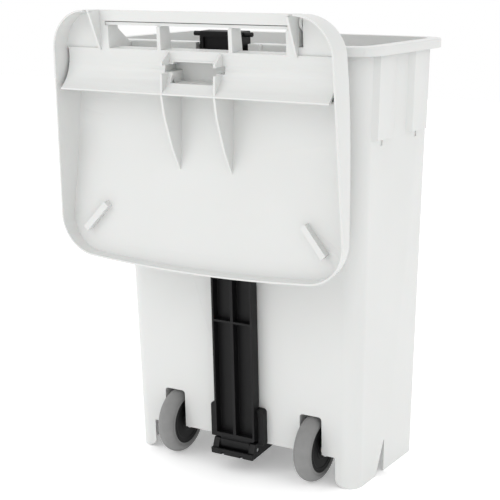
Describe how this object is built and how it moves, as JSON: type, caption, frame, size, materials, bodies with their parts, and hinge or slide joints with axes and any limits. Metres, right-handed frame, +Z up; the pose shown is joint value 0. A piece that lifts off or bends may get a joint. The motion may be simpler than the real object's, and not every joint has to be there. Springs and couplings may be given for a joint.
{
  "type": "linen trolley",
  "caption": "Tall tapered plastic linen bin with a hinged dished lid, rear lift rod worked by a front foot pedal, and rear transport wheels.",
  "frame": {"origin": "on the floor, under the middle of the whole object's box, with the lid hanging open behind the tub", "axes": "+Z up, -Y towards the pedal at the front, +Y towards the wheels, rod and hanging lid, +X to the right seen from the pedal side"},
  "size_m": [0.5636, 0.487, 0.8361],
  "materials": {
    "white_plastic": "white injection-moulded polypropylene, fine satin texture",
    "black_plastic": "black moulded polypropylene, satin",
    "grey_tyre": "grey non-marking rubber",
    "steel": "bright zinc-plated steel",
    "bush_plastic": "natural nylon"
  },
  "bodies": {
    "tub": {"tub": "white_plastic", "bracket_screws": "steel", "upper_rod_guide": "black_plastic", "lower_rod_guide": "black_plastic", "guide_screws": "steel", "block_screws": "steel", "lever_axle": "steel", "push_nuts": "steel", "hinge_bracket_left": "white_plastic", "pivot_block_left": "black_plastic", "wheel_axle_left": "steel", "hinge_bracket_right": "white_plastic", "pivot_block_right": "black_plastic", "wheel_axle_right": "steel"},
    "lid": {"lid": "white_plastic", "hinge_pin_left": "steel", "hinge_pin_right": "steel"},
    "rod": {"lift_rod": "black_plastic", "rod_head": "black_plastic", "head_pin": "black_plastic"},
    "pedal": {"pedal_lever": "black_plastic", "pedal_tread": "black_plastic", "foot_pin": "steel"},
    "wheel_left": {"tyre_left": "grey_tyre", "wheel_hub_left": "black_plastic", "wheel_bush_left": "bush_plastic", "outer_hub_cap_left": "black_plastic", "inner_hub_cap_left": "black_plastic"},
    "wheel_right": {"tyre_right": "grey_tyre", "wheel_hub_right": "black_plastic", "wheel_bush_right": "bush_plastic", "outer_hub_cap_right": "black_plastic", "inner_hub_cap_right": "black_plastic"}
  },
  "joints": [
    {"name": "lid_hinge", "type": "hinge", "parent": "tub", "child": "lid", "pos_m": [0, 0.2012, 0.8223], "axis": [-1, 0, 0], "range_deg": [-273.7, 0]},
    {"name": "pedal_hinge", "type": "hinge", "parent": "tub", "child": "pedal", "pos_m": [0, -0.1395, 0.07], "axis": [1, 0, 0], "range_deg": [0, 9.6]},
    {"name": "rod_slide", "type": "slide", "parent": "tub", "child": "rod", "axis": [0, 0.0355, 0.9994], "range_m": [0, 0.0377]},
    {"name": "wheel_left_spin", "type": "hinge", "parent": "tub", "child": "wheel_left", "pos_m": [-0.1453, 0.0535, 0.0625], "axis": [1, 0, 0], "continuous": true},
    {"name": "wheel_right_spin", "type": "hinge", "parent": "tub", "child": "wheel_right", "pos_m": [0.1453, 0.0535, 0.0625], "axis": [1, 0, 0], "continuous": true}
  ],
  "couplings": [
    {"joint": "rod_slide", "follows": "pedal_hinge", "m_per_rad": 0.22469}
  ]
}
